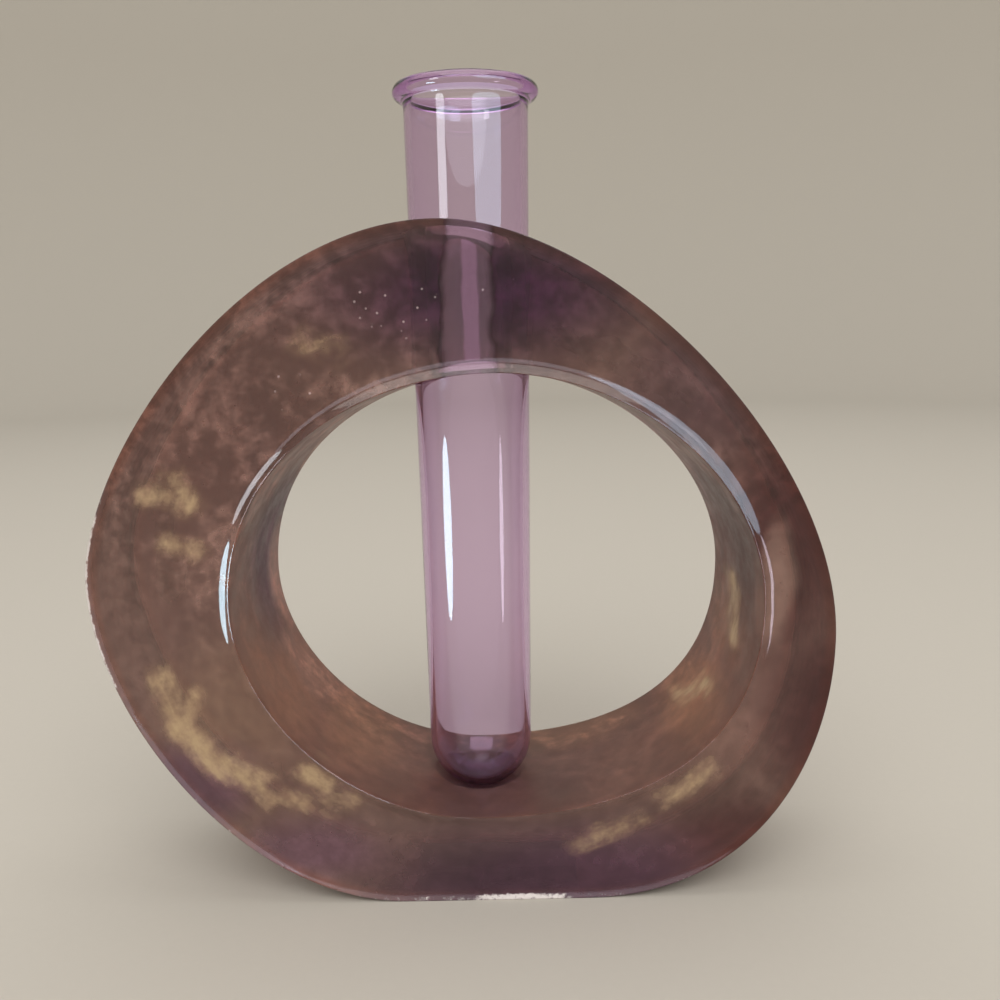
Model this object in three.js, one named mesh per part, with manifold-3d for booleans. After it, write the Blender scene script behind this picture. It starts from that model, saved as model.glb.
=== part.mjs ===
// A propagation vase: a cast resin ring that stands on a flat foot, and a round-bottomed tube that drops
// through a bore in the ring's crown and rests in a shallow seat in the floor of its opening.
// Millimetres, +Z up, front of the ring towards -Y. The origin is on the foot, under the tube's axis.

import * as THREE from "three";
import { LoftGeometry } from "three/addons/geometries/LoftGeometry.js";
import { mergeVertices } from "three/addons/utils/BufferGeometryUtils.js";
import Module from "manifold-3d";

// Ring, seen from the front: its reach to each side of the tube's axis and its turning points
const RING_HEIGHT = 138.7;
const RING_DEPTH = 40;
const RING_REACH_LEFT = 76.9;
const RING_REACH_RIGHT = 72;
const CROWN_SHIFT = -6;
const BULGE_HEIGHT_LEFT = 69;
const BULGE_HEIGHT_RIGHT = 55.5;
const FOOT_REACH_LEFT = 15;
const FOOT_REACH_RIGHT = 22;

// Limbs: thickness of the casting round its opening, and the opening's own turning points
const CROWN_LIMB = 28.7;
const LEFT_LIMB = 28;
const RIGHT_LIMB = 14.5;
const FLOOR_LIMB = 18.7;
const OPENING_SHIFT = 4;
const OPENING_HEIGHT_LEFT = 64;
const OPENING_HEIGHT_RIGHT = 63;

// How far the opening's wall closes in from the front to the back
const OPENING_TAPER = 2;

// Roundness of each quarter of the two outlines: how far the curve leans out along its level end and
// along its upright end, as a share of the quarter. About 0.55 twice is a quarter of an ellipse.
const RING_QUARTERS = {
  crownRight: [0.43, 0.45],
  footRight: [0.72, 0.46],
  footLeft: [0.55, 0.41],
  crownLeft: [0.53, 0.34],
};
const OPENING_QUARTERS = {
  crownRight: [0.51, 0.55],
  footRight: [0.61, 0.68],
  footLeft: [0.55, 0.49],
  crownLeft: [0.49, 0.65],
};

// Edges of the limbs: the resin's lip where it climbed the mould at the open front, and the moulded back edges
const LIP_RISE = 1;
const LIP_SPAN = 3.2;
const LIP_HOLLOW = 2;
const BACK_EDGE_RADIUS = 3;

// Tube
const TUBE_TOP_DIAMETER = 25;
const TUBE_FOOT_DIAMETER = 22.4;
const TUBE_WALL = 1.3;
const TUBE_ABOVE_CROWN = 27.5;
const RIM_DIAMETER = 29.2;
const RIM_BEAD = 3.3;
const RIM_FLARE = 2.5;

// Fits: the seat is a shallow dish, rounder than the tube's foot by its ease
const BORE_CLEARANCE = 0.35;
const SEAT_DEPTH = 2.6;
const SEAT_EASE = 4.8;
const SEAT_CLEARANCE = 0.3;

// Smoothness of the facets
const SECTIONS_PER_QUARTER = 24;
const LIP_STEPS = [0, 0.12, 0.3, 0.6, 1];
const EDGE_STEPS = 4;
const ROUND_STEPS = 48;
const FOOT_STEPS = 5;
const RIM_STEPS = 3;
const WELD_DISTANCE = 1e-4;

const ringFront = -RING_DEPTH / 2;
const ringBack = RING_DEPTH / 2;
const openingTop = RING_HEIGHT - CROWN_LIMB;
const floorUnderTube = FLOOR_LIMB + OPENING_TAPER / 2;

const tubeBottom = floorUnderTube - SEAT_DEPTH + SEAT_CLEARANCE;
const tubeTop = RING_HEIGHT + TUBE_ABOVE_CROWN;
const tubeFootRadius = TUBE_FOOT_DIAMETER / 2;
const tubeTopRadius = TUBE_TOP_DIAMETER / 2;
const tubeFootCentre = tubeBottom + tubeFootRadius;
const rimUnderside = tubeTop - RIM_BEAD;
const flareStart = rimUnderside - RIM_FLARE;

// The bore takes the widest stretch of tube that enters the crown.
const tubeShareAtCrown = (RING_HEIGHT - tubeFootCentre) / (flareStart - tubeFootCentre);
const tubeRadiusAtCrown = THREE.MathUtils.lerp(tubeFootRadius, tubeTopRadius, tubeShareAtCrown);
const boreRadius = tubeRadiusAtCrown + BORE_CLEARANCE;

const wasm = await Module();
wasm.setup();

function toSolid(geometry) {
  const bare = new THREE.BufferGeometry().copy(geometry);
  bare.deleteAttribute("normal");
  bare.deleteAttribute("uv");
  const welded = mergeVertices(bare, WELD_DISTANCE);
  const mesh = new wasm.Mesh({
    numProp: 3,
    vertProperties: new Float32Array(welded.attributes.position.array),
    triVerts: new Uint32Array(welded.index.array),
  });
  return new wasm.Manifold(mesh);
}

function toGeometry(solid) {
  const mesh = solid.getMesh();
  const geometry = new THREE.BufferGeometry();
  geometry.setAttribute("position", new THREE.BufferAttribute(mesh.vertProperties, 3));
  geometry.setIndex(new THREE.BufferAttribute(mesh.triVerts, 1));
  geometry.computeVertexNormals();
  return geometry;
}

// A quarter of an outline, from its level end at the crown or foot to its upright end at the side
function quarterCurve(level, upright, [levelLean, uprightLean]) {
  const levelHandle = new THREE.Vector2(THREE.MathUtils.lerp(level.x, upright.x, levelLean), level.y);
  const uprightHandle = new THREE.Vector2(upright.x, THREE.MathUtils.lerp(upright.y, level.y, uprightLean));
  return new THREE.CubicBezierCurve(level, levelHandle, uprightHandle, upright);
}

function reversed(curve) {
  return new THREE.CubicBezierCurve(curve.v3, curve.v2, curve.v1, curve.v0);
}

// An outline as four quarters, clockwise from its top as seen from the front. A flat stretch along its
// bottom belongs half to each lower quarter.
function outlineQuarters(top, right, left, bottom, flat, quarters) {
  const flatRight = new THREE.Vector2(bottom.x + flat.right, bottom.y);
  const flatLeft = new THREE.Vector2(bottom.x - flat.left, bottom.y);
  const paths = [0, 1, 2, 3].map(() => new THREE.CurvePath());
  paths[0].add(quarterCurve(top, right, quarters.crownRight));
  paths[1].add(reversed(quarterCurve(flatRight, right, quarters.footRight)));
  if (flat.right > 0) paths[1].add(new THREE.LineCurve(flatRight, bottom));
  if (flat.left > 0) paths[2].add(new THREE.LineCurve(bottom, flatLeft));
  paths[2].add(quarterCurve(flatLeft, left, quarters.footLeft));
  paths[3].add(reversed(quarterCurve(top, left, quarters.crownLeft)));
  return paths;
}

const ringOutline = outlineQuarters(
  new THREE.Vector2(CROWN_SHIFT, RING_HEIGHT),
  new THREE.Vector2(RING_REACH_RIGHT, BULGE_HEIGHT_RIGHT),
  new THREE.Vector2(-RING_REACH_LEFT, BULGE_HEIGHT_LEFT),
  new THREE.Vector2(0, 0),
  { right: FOOT_REACH_RIGHT, left: FOOT_REACH_LEFT },
  RING_QUARTERS,
);

const openingOutline = outlineQuarters(
  new THREE.Vector2(OPENING_SHIFT, openingTop),
  new THREE.Vector2(RING_REACH_RIGHT - RIGHT_LIMB, OPENING_HEIGHT_RIGHT),
  new THREE.Vector2(LEFT_LIMB - RING_REACH_LEFT, OPENING_HEIGHT_LEFT),
  new THREE.Vector2(0, FLOOR_LIMB),
  { right: 0, left: 0 },
  OPENING_QUARTERS,
);

// The front face stands highest at the limb's two edges and dips in a hollow curve to its level middle.
function frontDepth(inset) {
  const climb = (1 - inset / LIP_SPAN) ** LIP_HOLLOW;
  return ringFront + LIP_RISE * (1 - climb);
}

// A limb's section as points { side, inset, depth }: the inset is taken into the limb from the ring's
// outline on side "ring", and from the opening's outline on side "opening".
function limbProfile() {
  const profile = [];
  for (const step of LIP_STEPS) {
    const inset = step * LIP_SPAN;
    profile.push({ side: "ring", inset, depth: frontDepth(inset) });
  }
  for (const step of [...LIP_STEPS].reverse()) {
    const inset = step * LIP_SPAN;
    profile.push({ side: "opening", inset, depth: frontDepth(inset) });
  }
  const edgeDepth = ringBack - BACK_EDGE_RADIUS;
  for (let step = 0; step <= EDGE_STEPS; step += 1) {
    const turn = (step / EDGE_STEPS) * (Math.PI / 2);
    const inset = BACK_EDGE_RADIUS * (1 - Math.cos(turn)) - OPENING_TAPER;
    profile.push({ side: "opening", inset, depth: edgeDepth + BACK_EDGE_RADIUS * Math.sin(turn) });
  }
  for (let step = EDGE_STEPS; step >= 0; step -= 1) {
    const turn = (step / EDGE_STEPS) * (Math.PI / 2);
    const inset = BACK_EDGE_RADIUS * (1 - Math.cos(turn));
    profile.push({ side: "ring", inset, depth: edgeDepth + BACK_EDGE_RADIUS * Math.sin(turn) });
  }
  return profile;
}

function limbSection(ringEdge, openingEdge, profile) {
  const inward = openingEdge.clone().sub(ringEdge).normalize();
  return profile.map(({ side, inset, depth }) => {
    const edge = side === "ring" ? ringEdge : openingEdge;
    const place = edge.clone().addScaledVector(inward, side === "ring" ? inset : -inset);
    return new THREE.Vector3(place.x, depth, place.y);
  });
}

function ringBlank() {
  const profile = limbProfile();
  const sections = [];
  ringOutline.forEach((ringQuarter, quarter) => {
    for (let step = 0; step < SECTIONS_PER_QUARTER; step += 1) {
      const share = step / SECTIONS_PER_QUARTER;
      const openingEdge = openingOutline[quarter].getPoint(share);
      sections.push(limbSection(ringQuarter.getPoint(share), openingEdge, profile));
    }
  });
  sections.push(sections[0]);
  return new LoftGeometry(sections);
}

// The bore runs from inside the opening to above the crown.
function crownBore() {
  const low = openingTop - boreRadius;
  const high = RING_HEIGHT + boreRadius;
  const bore = new THREE.CylinderGeometry(boreRadius, boreRadius, high - low, ROUND_STEPS);
  bore.rotateX(Math.PI / 2);
  bore.translate(0, 0, (low + high) / 2);
  return bore;
}

// The seat is dished into the floor, and the tube's foot stands in the middle of it.
function tubeSeat() {
  const dishRadius = tubeFootRadius + SEAT_EASE;
  const seat = new THREE.SphereGeometry(dishRadius, ROUND_STEPS, ROUND_STEPS / 2);
  seat.rotateX(Math.PI / 2);
  seat.translate(0, 0, floorUnderTube - SEAT_DEPTH + dishRadius);
  return seat;
}

function ringBody() {
  const casting = toSolid(ringBlank()).subtract(toSolid(crownBore())).subtract(toSolid(tubeSeat()));
  const material = new THREE.MeshStandardMaterial({ color: 0x6e504b, roughness: 0.16, metalness: 0 });
  const mesh = new THREE.Mesh(toGeometry(casting), material);
  mesh.name = "ring_body";
  return mesh;
}

// Half of the tube's section: up the outside, round the bead and down the inside, from axis to axis
function tubeProfile() {
  const beadRadius = RIM_BEAD / 2;
  const beadCentre = RIM_DIAMETER / 2 - beadRadius;
  const mouthRadius = tubeTopRadius - TUBE_WALL;
  const hollowRadius = tubeFootRadius - TUBE_WALL;
  const quarterTurn = Math.PI / 2;
  const outside = new THREE.Path();
  outside.absarc(0, tubeFootCentre, tubeFootRadius, -quarterTurn, 0, false);
  const bead = new THREE.Path();
  bead.moveTo(tubeTopRadius, flareStart);
  bead.quadraticCurveTo(tubeTopRadius, rimUnderside, beadCentre, rimUnderside);
  bead.absarc(beadCentre, rimUnderside + beadRadius, beadRadius, -quarterTurn, quarterTurn, false);
  bead.quadraticCurveTo(mouthRadius, tubeTop, mouthRadius, rimUnderside);
  const inside = new THREE.Path();
  inside.absarc(0, tubeFootCentre, hollowRadius, 0, -quarterTurn, true);
  const points = [...outside.getPoints(FOOT_STEPS), ...bead.getPoints(RIM_STEPS), ...inside.getPoints(FOOT_STEPS)];
  points[0].x = 0;
  points[points.length - 1].x = 0;
  return points;
}

function testTube() {
  const geometry = new THREE.LatheGeometry(tubeProfile(), ROUND_STEPS);
  geometry.rotateX(Math.PI / 2);
  const material = new THREE.MeshStandardMaterial({
    color: 0xb9a0cc,
    roughness: 0.05,
    metalness: 0,
    transparent: true,
    opacity: 0.45,
  });
  const mesh = new THREE.Mesh(geometry, material);
  mesh.name = "test_tube";
  return mesh;
}

const vase = new THREE.Group();
vase.add(ringBody());
vase.add(testTube());

export default vase;
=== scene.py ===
"""Dresses the propagation vase: the clouded resin ring and the lilac tube that stands in it.

Everything is in metres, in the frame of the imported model: +Z up, the open-poured front face towards -Y,
the origin on the flat foot under the tube's axis.
"""

import logging
import math
from collections.abc import Callable, Iterator
from contextlib import contextmanager
from dataclasses import dataclass, field
from enum import Enum

import bmesh
import bpy
from mathutils import Matrix, Vector
from mathutils.geometry import interpolate_bezier


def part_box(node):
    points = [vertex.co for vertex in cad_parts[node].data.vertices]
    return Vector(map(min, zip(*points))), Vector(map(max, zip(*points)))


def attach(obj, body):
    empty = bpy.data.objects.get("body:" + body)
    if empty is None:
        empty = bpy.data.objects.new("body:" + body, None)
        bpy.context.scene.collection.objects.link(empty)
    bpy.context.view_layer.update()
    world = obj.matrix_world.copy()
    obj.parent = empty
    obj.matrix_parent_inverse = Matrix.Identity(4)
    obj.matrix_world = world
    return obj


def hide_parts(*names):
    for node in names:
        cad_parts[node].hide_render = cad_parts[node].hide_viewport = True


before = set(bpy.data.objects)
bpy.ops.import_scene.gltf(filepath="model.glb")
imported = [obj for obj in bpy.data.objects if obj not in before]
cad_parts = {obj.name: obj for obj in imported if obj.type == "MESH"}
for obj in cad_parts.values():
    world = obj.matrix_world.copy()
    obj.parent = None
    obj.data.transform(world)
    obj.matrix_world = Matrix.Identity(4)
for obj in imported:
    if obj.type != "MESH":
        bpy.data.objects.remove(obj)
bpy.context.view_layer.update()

MM = 0.001
TOUCH = 1e-6
QUARTER_TURN = math.pi / 2
FULL_TURN = 2 * math.pi
UP = (0.0, 0.0, 1.0)
BACK = (0.0, 1.0, 0.0)
CORNER_ANGLE = math.radians(40)
QUARTER_STEPS = 240
BORE_CLEARANCE = 0.35 * MM
SEAT_EASE = 4.8 * MM
SEAT_DEPTH = 2.6 * MM
BEND_PULL = 2 / 3
MIX_SHARE, MIX_FIRST, MIX_SECOND, MIX_RESULT = 0, 6, 7, 2
LOG = logging.getLogger("propagation_vase")

Point = tuple[float, float]
Lean = tuple[float, float]
Band = tuple[float, float]
Spot = tuple[float, float, float]
Colour = tuple[float, float, float]
Socket = bpy.types.NodeSocket


class Body(Enum):
    """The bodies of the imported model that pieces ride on."""

    RING = "ring"
    TUBE = "tube"


class Slot(Enum):
    """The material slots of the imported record."""

    RESIN = "resin"
    TUBE = "tube"


class Element(Enum):
    """The kinds of mesh element that can be selected, named as the operators name them."""

    VERT = "verts"
    EDGE = "edges"
    FACE = "faces"


class Workbench:
    """The hand steps that the pieces share."""

    @staticmethod
    def clear() -> None:
        """Leaves every object deselected."""
        bpy.ops.object.select_all(action="DESELECT")

    @staticmethod
    def pick(*pieces: bpy.types.Object) -> None:
        """Selects some pieces and nothing else, with the first of them active.

        Args:
            pieces: The objects to select.
        """
        Workbench.clear()
        for piece in pieces:
            piece.select_set(True)
        bpy.context.view_layer.objects.active = pieces[0]

    @staticmethod
    @contextmanager
    def editing(piece: bpy.types.Object) -> Iterator[None]:
        """Opens a piece in edit mode with nothing selected, and closes it again.

        Args:
            piece: The mesh object to edit.
        """
        Workbench.pick(piece)
        bpy.ops.object.mode_set(mode="EDIT")
        bpy.ops.mesh.select_all(action="DESELECT")
        yield
        bpy.ops.object.mode_set(mode="OBJECT")

    @staticmethod
    def select(piece: bpy.types.Object, kind: Element, test: Callable[..., bool]) -> None:
        """Selects the elements of an open piece that pass a test, and no others.

        Args:
            piece: The mesh object in edit mode.
            kind: Whether vertices, edges or faces are tested.
            test: Takes one element and says whether it is selected.
        """
        bpy.ops.mesh.select_mode(type=kind.name)
        bpy.ops.mesh.select_all(action="DESELECT")
        mesh = bmesh.from_edit_mesh(piece.data)
        for element in getattr(mesh, kind.value):
            element.select_set(test(element))
        mesh.select_flush_mode()
        bmesh.update_edit_mesh(piece.data)

    @staticmethod
    def cut(piece: bpy.types.Object, cutter: bpy.types.Object) -> None:
        """Cuts one solid out of another and removes the cutter.

        Args:
            piece: The solid that is cut.
            cutter: The solid that is taken out of it.
        """
        Workbench.pick(piece)
        cut = piece.modifiers.new("cut", "BOOLEAN")
        cut.operation = "DIFFERENCE"
        cut.solver = "EXACT"
        cut.object = cutter
        bpy.ops.object.modifier_apply(modifier=cut.name)
        spare = cutter.data
        bpy.data.objects.remove(cutter)
        bpy.data.meshes.remove(spare)

    @staticmethod
    def smooth(piece: bpy.types.Object, angle: float) -> None:
        """Shades a piece smooth, but sharp where its faces meet at more than an angle in radians."""
        Workbench.pick(piece)
        bpy.ops.object.shade_smooth_by_angle(angle=angle)

    @staticmethod
    def is_corner(edge: bmesh.types.BMEdge) -> bool:
        """Says whether an edge's two faces meet at a corner."""
        return len(edge.link_faces) == 2 and edge.calc_face_angle() > CORNER_ANGLE


class NodeBoard:
    """A material's node tree, with a method for each kind of node that the finishes use."""

    def __init__(self, name: str) -> None:
        """Starts an empty material with its output and its Object coordinates.

        Args:
            name: The material's name.
        """
        self.material = bpy.data.materials.new(name)
        self.material.use_nodes = True
        self.tree = self.material.node_tree
        self.tree.nodes.clear()
        self.output = self.add("OutputMaterial")
        self.place = self.add("TexCoord").outputs["Object"]

    def add(self, kind: str, **inputs: object) -> bpy.types.Node:
        """Adds one node.

        Args:
            kind: The node's type, without the ShaderNode that it starts with.
            inputs: What goes into its sockets, with underscores for the spaces in their names.

        Returns:
            The new node.
        """
        node = self.tree.nodes.new("ShaderNode" + kind)
        for name, value in inputs.items():
            self.feed(node.inputs[name.replace("_", " ")], value)
        return node

    def feed(self, socket: Socket, value: object) -> None:
        """Links a socket into another one, or sets it to a plain value.

        Args:
            socket: The input to fill.
            value: An output socket, a number, or a colour or vector of three.
        """
        if isinstance(value, Socket):
            self.tree.links.new(value, socket)
        elif socket.type == "RGBA":
            socket.default_value = (*value, 1.0)
        else:
            socket.default_value = value

    def math(self, operation: str, first: object, second: object = 0.0, held: bool = False) -> Socket:
        """Works out one sum of two numbers.

        Args:
            operation: The kind of sum, as the node names it.
            first: The first number.
            second: The second number.
            held: Whether the result is held between 0 and 1.

        Returns:
            The result.
        """
        node = self.add("Math")
        node.operation = operation
        node.use_clamp = held
        self.feed(node.inputs[0], first)
        self.feed(node.inputs[1], second)
        return node.outputs[0]

    def vector(self, operation: str, first: object, second: object = (0.0, 0.0, 0.0)) -> Socket:
        """Works out one sum of two vectors.

        Args:
            operation: The kind of sum, as the node names it.
            first: The first vector.
            second: The second vector.

        Returns:
            The result, which is a number for LENGTH and DOT_PRODUCT.
        """
        node = self.add("VectorMath")
        node.operation = operation
        self.feed(node.inputs[0], first)
        self.feed(node.inputs[1], second)
        return node.outputs["Value" if operation in ("LENGTH", "DOT_PRODUCT") else "Vector"]

    def along(self, direction: Spot) -> Socket:
        """Returns how far each place lies along a direction, in metres."""
        return self.vector("DOT_PRODUCT", self.place, direction)

    def facing(self, direction: object) -> Socket:
        """Returns how far the surface looks in a direction, from -1 to 1."""
        return self.vector("DOT_PRODUCT", self.add("NewGeometry").outputs["Normal"], direction)

    def noise(
        self,
        place: Socket,
        grain: float,
        detail: float = 4.0,
        roughness: float = 0.55,
        layer: Socket | None = None,
    ) -> Socket:
        """Adds clouds of noise.

        Args:
            place: The coordinates that the noise reads.
            grain: The size of its largest clouds, in metres.
            detail: How many finer layers it has.
            roughness: How strong the finer layers are.
            layer: A fourth coordinate, where the noise needs one.

        Returns:
            How thick the clouds are, from 0 to 1.
        """
        node = self.add("TexNoise", Vector=place, Scale=1.0 / grain, Detail=detail, Roughness=roughness)
        if layer is not None:
            node.noise_dimensions = "4D"
            self.feed(node.inputs["W"], layer)
        return node.outputs["Fac"]

    def cells(self, place: Socket, grain: float) -> bpy.types.Node:
        """Adds random cells of one size in metres, with outputs Distance and Color."""
        return self.add("TexVoronoi", Vector=place, Scale=1.0 / grain)

    def chance(self, place: Socket) -> Socket:
        """Gives each place a random number from 0 to 1 and returns it."""
        return self.add("TexWhiteNoise", Vector=place).outputs["Value"]

    def span(self, value: object, low: float, high: float, first: float = 0.0, last: float = 1.0) -> Socket:
        """Eases from one number to another while a value goes from low to high.

        Args:
            value: The value that is read.
            low: Where the ease starts.
            high: Where it ends.
            first: The result at low and before it.
            last: The result at high and past it.

        Returns:
            The eased number.
        """
        node = self.add("MapRange", Value=value, From_Min=low, From_Max=high, To_Min=first, To_Max=last)
        node.interpolation_type = "SMOOTHSTEP"
        return node.outputs["Result"]

    def mix(self, share: object, first: object, second: object) -> Socket:
        """Mixes two colours.

        Args:
            share: How much of the second colour there is, from 0 to 1.
            first: The first colour.
            second: The second colour.

        Returns:
            The mixture.
        """
        node = self.add("Mix")
        node.data_type = "RGBA"
        for index, value in ((MIX_SHARE, share), (MIX_FIRST, first), (MIX_SECOND, second)):
            self.feed(node.inputs[index], value)
        return node.outputs[MIX_RESULT]

    def bump(self, height: object, depth: float) -> Socket:
        """Raises the surface by a height from 0 to 1 times a depth in metres, and returns the new normal."""
        return self.add("Bump", Strength=1.0, Distance=depth, Height=height).outputs["Normal"]

    def surface(self, **inputs: object) -> None:
        """Gives the material a surface shader with some inputs, which have underscores for spaces."""
        node = self.add("BsdfPrincipled", **inputs)
        self.tree.links.new(node.outputs["BSDF"], self.output.inputs["Surface"])

    def absorb(self, colour: Colour, density: float) -> None:
        """Fills the material's body with a clear tint of one colour and density."""
        node = self.add("VolumeAbsorption", Color=colour, Density=density)
        self.tree.links.new(node.outputs["Volume"], self.output.inputs["Volume"])


@dataclass(frozen=True)
class Pour:
    """A patch of colour: its middle, its reach and its strength. Most are pigment that spread in the resin as
    it set; a few paint highlights on the lips and edges.

    The middle and the reach are in millimetres along X, Y and Z.
    """

    middle: Spot
    reach: Spot
    strength: float = 1.0


@dataclass(frozen=True)
class Vein:
    """A streak of gold mica from one point to another, with its half width and its strength.

    Points and width are in millimetres along X, Y and Z.
    """

    start: Spot
    end: Spot
    width: float
    strength: float = 1.0


@dataclass(frozen=True)
class Wash:
    """One colour and its patches: mostly a pigment where it was poured, with painted highlights in the rose
    and scuff washes.
    """

    colour: Colour
    pours: tuple[Pour, ...]


@dataclass(frozen=True)
class ResinFinish:
    """Cast resin, glossy and half clear, clouded with mica in rose, tan, plum, maroon, violet and gold, with
    painted highlights on the right lip and along the front edge.

    A grain is the size of the largest clouds of a noise, and a swirl is how far its place is stirred. A
    band holds the two values between which something comes in.
    """

    body: Colour = (0.36, 0.225, 0.188)
    bare: Colour = (0.86, 0.73, 0.87)
    dark_gold: Colour = (0.36, 0.23, 0.145)
    light_gold: Colour = (0.66, 0.49, 0.29)
    bubble: Colour = (0.8, 0.66, 0.68)
    wall: Colour = (1.12, 0.84, 0.72)
    tint: Colour = (0.68, 0.44, 0.5)
    tint_density: float = 42.0
    refraction: float = 1.48
    clear_share: float = 0.73
    cloudy_share: float = 0.6
    bare_share: float = 0.95
    settled_share: float = 0.7
    solid_share: float = 0.2
    cloud_share: float = 0.25
    mottle_share: float = 0.45
    streak_share: float = 0.3
    flake_share: float = 0.6
    sparkle_share: float = 1.3
    heap_share: float = 0.6
    crumb_share: float = 0.6
    gold_level: float = 0.8
    gold_grit: float = 1.4
    gold_cover: float = 0.92
    gold_metal: float = 0.35
    bubble_share: float = 0.34
    bubble_cover: float = 0.55
    polish: float = 0.05
    cast: float = 0.16
    satin: float = 0.26
    worn: float = 0.45
    middle: Spot = (0.0, 0.0, 66 * MM)
    bore_radius: float = 13 * MM
    bore_skin: float = 0.6 * MM
    mica_stretch: float = 4.0
    gold_stretch: float = 3.0
    vein_spread: float = 1.9
    vein_squash: Spot = (1.0, 0.35, 1.0)
    mica_swirl: float = 8 * MM
    gold_swirl: float = 5 * MM
    wash_swirl: float = 9 * MM
    slow_grain: float = 30 * MM
    quick_grain: float = 8 * MM
    cloud_grain: float = 16 * MM
    mottle_grain: float = 3.2 * MM
    streak_grain: float = 6 * MM
    flow_grain: float = 3.5 * MM
    flake_grain: float = 2.6 * MM
    sparkle_grain: float = 2 * MM
    bubble_grain: float = 1.2 * MM
    crumb_grain: float = 1.2 * MM
    rub_grain: float = 5 * MM
    ragged_grain: float = 9 * MM
    ragged_reach: float = 6 * MM
    ripple_grain: float = 16 * MM
    ripple_depth: float = 0.25 * MM
    mica_band: Band = (0.42, 0.74)
    mica_shades: Band = (0.82, 1.9)
    mottle_contrast: Band = (0.42, 1.4)
    clear_band: Band = (0.4, 0.6)
    bare_band: Band = (0.4, 1.0)
    heap_band: Band = (0.0, 1.35)
    vein_band: Band = (0.0, 0.3)
    shine_band: Band = (0.75, 1.5)
    crumb_band: Band = (0.82, 1.1)
    rub_band: Band = (0.3, 0.7)
    rub_shades: Band = (0.8, 1.2)
    bubble_band: Band = (0.32, 0.08)
    patch_band: Band = (1.15, 0.35)
    settled_band: Band = (8 * MM, 24 * MM)
    crown_band: Band = (100 * MM, 108 * MM)
    strip_band: Band = (10 * MM, 6 * MM)
    sole_band: Band = (1.8 * MM, 0.6 * MM)
    edge_band: Band = (-19.55 * MM, -19.9 * MM)
    dull_band: Band = (-19.0 * MM, -19.8 * MM)
    inward_band: Band = (-0.1, -0.5)
    front_band: Band = (-0.55, -0.85)
    plum: Wash = Wash(
        (0.066, 0.017, 0.06),
        (
            Pour((2, -8, 125), (46, 34, 20)),
            Pour((44, -8, 108), (24, 34, 18), 0.5),
            Pour((18, -10, 2), (64, 34, 22), 0.85),
            Pour((-46, 8, 76), (8, 22, 32)),
            Pour((10, 18, 126), (40, 14, 16), 0.7),
            Pour((-60, 16, 40), (20, 14, 24), 0.6),
            Pour((54, 4, 84), (10, 22, 24), 0.8),
        ),
    )
    maroon: Wash = Wash(
        (0.12, 0.033, 0.034),
        (
            Pour((62, -6, 80), (20, 34, 42), 0.95),
            Pour((70, -8, 40), (16, 34, 28), 0.95),
            Pour((56, -8, 14), (22, 34, 14), 0.85),
            Pour((-50, -8, 102), (36, 34, 30), 0.35),
        ),
    )
    violet: Wash = Wash(
        (0.25, 0.125, 0.2),
        (
            Pour((-58, -14, 28), (16, 18, 12), 0.8),
            Pour((30, -14, 11), (24, 16, 8), 0.2),
            Pour((-36, -14, 12), (20, 14, 9), 0.7),
            Pour((50, 14, 104), (20, 16, 20), 0.8),
            Pour((66, 10, 30), (14, 12, 14), 0.8),
            Pour((-70, 8, 70), (10, 12, 22), 0.6),
            Pour((-8, 18, 8), (30, 10, 12), 0.8),
        ),
    )
    tan: Wash = Wash(
        (0.55, 0.355, 0.24),
        (
            Pour((-48, -8, 44), (20, 24, 20), 0.8),
            Pour((-30, 4, 28), (16, 22, 10), 0.8),
            Pour((47, 2, 36), (10, 22, 12)),
            Pour((55, -2, 56), (8, 18, 14), 0.9),
            Pour((24, 16, 23), (30, 12, 8), 0.7),
            Pour((72, 8, 64), (8, 10, 22), 0.7),
            Pour((-66, 14, 96), (18, 8, 20), 0.7),
            Pour((58, 18, 24), (20, 8, 14), 0.7),
        ),
    )
    # Rose patches on the opening's left wall, and a painted highlight: the rosy band of light along the right
    # inner lip.
    rose_and_highlight: Wash = Wash(
        (0.64, 0.44, 0.36),
        (
            Pour((-40, 11, 42), (8, 10, 14)),
            Pour((-46, 16, 62), (6, 8, 16), 0.7),
            # Painted highlight on the right inner lip.
            Pour((59.5, -19, 67), (4, 6, 14), 0.75),
        ),
    )
    gold: tuple[Vein, ...] = (
        Vein((-63, -19, 50), (-61, -19, 41), 3.2),
        Vein((-57, -19, 46), (-60, -19, 40), 2.6),
        Vein((-61, -19, 40), (-52, -19, 31), 3.4),
        Vein((-53, -19, 32), (-45, -19, 27), 3.2),
        Vein((-46, -19, 28), (-43, -19, 23), 2.8),
        Vein((-44, -19, 24), (-37, -19, 22), 2.6, 0.9),
        Vein((-36, -19, 29), (-32, -19, 26), 2.8),
        Vein((-31, -19, 22), (-27, -19, 22), 3.0, 0.65),
        Vein((-63, -19, 88), (-59, -19, 88), 2.6, 0.85),
        Vein((-57, -19, 91), (-55, -19, 86), 3.0, 0.85),
        Vein((-59, -19, 78), (-54, -19, 76), 2.4, 0.85),
        Vein((-30, -19, 115), (-25, -19, 114), 3.6, 0.65),
        Vein((20, -19, 12), (34, -19, 18), 2.4, 0.75),
        Vein((38, -19, 22), (48, -19, 28), 2.6, 0.75),
        Vein((56, 2, 63), (55, -3, 51), 2.2),
        Vein((49, 1, 39), (45, 6, 34), 2.6),
        Vein((-70, 18, 86), (-68, 18, 62), 4.0, 0.7),
        Vein((71, 2, 86), (71, 10, 60), 3.0, 0.7),
        Vein((-30, 6, 131), (-48, -2, 120), 3.4, 0.6),
        Vein((20, 18, 116), (46, 18, 104), 4.0, 0.7),
        Vein((-34, 18, 16), (-6, 18, 10), 4.0, 0.7),
    )
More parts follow.
